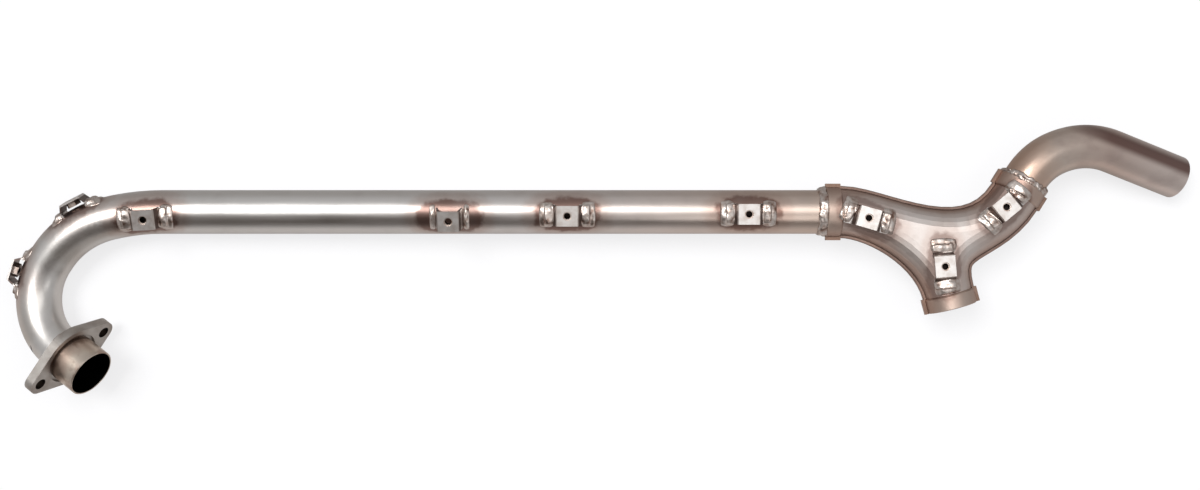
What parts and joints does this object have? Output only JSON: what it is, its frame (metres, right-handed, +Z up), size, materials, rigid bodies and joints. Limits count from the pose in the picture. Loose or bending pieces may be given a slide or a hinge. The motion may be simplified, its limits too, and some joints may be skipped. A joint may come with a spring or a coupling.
{
  "type": "exhaust header pipe",
  "caption": "Bent steel exhaust pipe with a bolted inlet flange, a pressed Y junction that splits it into an open collar and a short bent outlet, and welded screw clips.",
  "frame": {"origin": "middle of the inlet flange's outer face, on the pipe's centre line", "axes": "+X along the long straight pipe from the hooked bend towards the junction, +Y across it towards the side the hook bends away to, +Z up with the part lying on the ground, the side with the junction's screw clips uppermost"},
  "size_m": [0.954, 0.2139, 0.0731],
  "materials": {
    "pipe_steel": "satin stainless tube, fine lengthwise polish",
    "tinted_steel": "stainless steel with straw and brown heat tint",
    "flange_steel": "cut plate, dull grey with brown tint",
    "clip_steel": "bright pressed strip",
    "nut_steel": "plain turned steel",
    "weld_steel": "rippled weld bead with oxide tint"
  },
  "bodies": {
    "root": {"header_run": "pipe_steel", "header_elbow": "pipe_steel", "header_hook": "pipe_steel", "inlet_flange": "flange_steel", "inlet_sleeve": "tinted_steel", "inlet_weld": "weld_steel", "junction_top": "tinted_steel", "junction_bottom": "tinted_steel", "junction_top_collars": "tinted_steel", "junction_bottom_collars": "tinted_steel", "header_collar_weld": "weld_steel", "outlet_collar_weld": "weld_steel", "outlet_elbow": "tinted_steel", "outlet_end": "tinted_steel", "bend_clip_a": "clip_steel", "bend_clip_b": "clip_steel", "bend_clip_c": "clip_steel", "run_clip_a": "clip_steel", "run_clip_b": "clip_steel", "tall_bracket": "clip_steel", "junction_clip_a": "clip_steel", "junction_clip_b": "clip_steel", "junction_clip_c": "clip_steel", "clip_nuts": "nut_steel", "bend_clip_welds": "weld_steel", "run_clip_welds": "weld_steel", "junction_clip_welds": "weld_steel"}
  },
  "joints": []
}
